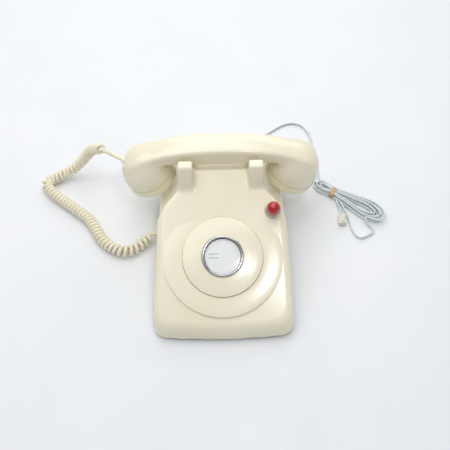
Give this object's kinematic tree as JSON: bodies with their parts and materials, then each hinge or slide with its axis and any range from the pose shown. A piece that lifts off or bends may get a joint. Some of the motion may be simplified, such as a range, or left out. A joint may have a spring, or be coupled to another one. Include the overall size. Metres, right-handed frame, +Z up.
{
  "type": "desk telephone",
  "caption": "Dial-less desk telephone with a blank dial plate and card ring, a signal lamp, a handset on a curly cord and a modular line cord.",
  "frame": {"origin": "on the table under the middle of the telephone, cords left out", "axes": "+Z up, the sloping face looks towards -Y, +X is the lamp side"},
  "size_m": [0.4438, 0.3282, 0.124],
  "materials": {
    "ivory_shell": "moulded gloss, slightly aged",
    "ivory_cord": "satin vinyl",
    "bright_chrome": "polished",
    "card_paper": "matt",
    "clear_window": "clear",
    "red_lens": "polished, translucent",
    "black_moulding": "satin",
    "zinc_steel": "zinc plated",
    "gong_brass": "lacquered",
    "coil_wire": "enamelled winding under tape",
    "foot_rubber": "matt",
    "silver_cord": "satin vinyl",
    "plug_moulding": "clear to ivory",
    "tan_band": "matt"
  },
  "bodies": {
    "telephone": {"housing": "ivory_shell", "base_plate": "zinc_steel", "foot_front_left": "foot_rubber", "foot_front_right": "foot_rubber", "foot_rear_left": "foot_rubber", "foot_rear_right": "foot_rubber", "base_screw_front": "zinc_steel", "base_screw_rear": "zinc_steel", "dial_blank": "ivory_shell", "card_ring": "bright_chrome", "card_cup": "black_moulding", "number_card": "card_paper", "card_window": "clear_window", "lamp_bezel": "bright_chrome", "lamp_lens": "red_lens", "lamp_bulb": "clear_window", "lamp_socket": "black_moulding", "lamp_nut": "zinc_steel", "hook_pin": "zinc_steel", "hook_bracket": "zinc_steel", "hook_spring": "zinc_steel", "contact_stack": "gong_brass", "ringer_frame": "zinc_steel", "gong_left": "gong_brass", "gong_screw_left": "zinc_steel", "gong_right": "gong_brass", "gong_screw_right": "zinc_steel", "ringer_coil": "coil_wire", "clapper_pin": "zinc_steel", "network_box": "black_moulding", "terminal_strip": "black_moulding", "capacitor": "silver_cord", "handset_cord_coil": "ivory_cord", "handset_cord_grommet": "ivory_cord", "line_cord_grommet": "black_moulding", "line_cord": "silver_cord", "line_cord_tail": "silver_cord", "line_cord_loop": "silver_cord", "line_cord_hank": "silver_cord", "cord_band": "tan_band", "line_plug": "plug_moulding"},
    "handset": {"handset_shell": "ivory_shell", "transmitter_cap": "ivory_shell", "transmitter_capsule": "black_moulding", "receiver_cap": "ivory_shell", "receiver_capsule": "black_moulding", "transmitter_cup": "black_moulding", "handset_cord_gland": "ivory_cord", "handset_cord_lead": "ivory_cord"},
    "plunger_left": {"plunger_left": "ivory_shell"},
    "plunger_right": {"plunger_right": "ivory_shell"},
    "hook_lever": {"hook_lever": "zinc_steel"},
    "clapper": {"clapper": "gong_brass"}
  },
  "joints": [
    {"name": "handset_lift", "type": "slide", "parent": "telephone", "child": "handset", "axis": [0, 0, 1], "range_m": [0, 0.07]},
    {"name": "plunger_left_rise", "type": "slide", "parent": "telephone", "child": "plunger_left", "axis": [0, 0, 1], "range_m": [0, 0.00601]},
    {"name": "plunger_right_rise", "type": "slide", "parent": "telephone", "child": "plunger_right", "axis": [0, 0, 1], "range_m": [0, 0.00601]},
    {"name": "hook_swing", "type": "hinge", "parent": "telephone", "child": "hook_lever", "pos_m": [0, 0.03, 0.062], "axis": [1, 0, 0], "range_deg": [0, 6.88], "stiffness_Nm_per_rad": 0.05, "springref_deg": 22.92},
    {"name": "clapper_swing", "type": "hinge", "parent": "telephone", "child": "clapper", "pos_m": [0, 0.0635, 0.0236], "axis": [0, 0, 1], "range_deg": [-8, 8], "stiffness_Nm_per_rad": 0.002}
  ],
  "couplings": [
    {"joint": "plunger_left_rise", "follows": "handset_lift", "ratio": 0.085714},
    {"joint": "plunger_right_rise", "follows": "handset_lift", "ratio": 0.085714},
    {"joint": "hook_swing", "follows": "handset_lift", "rad_per_m": 1.7143}
  ]
}
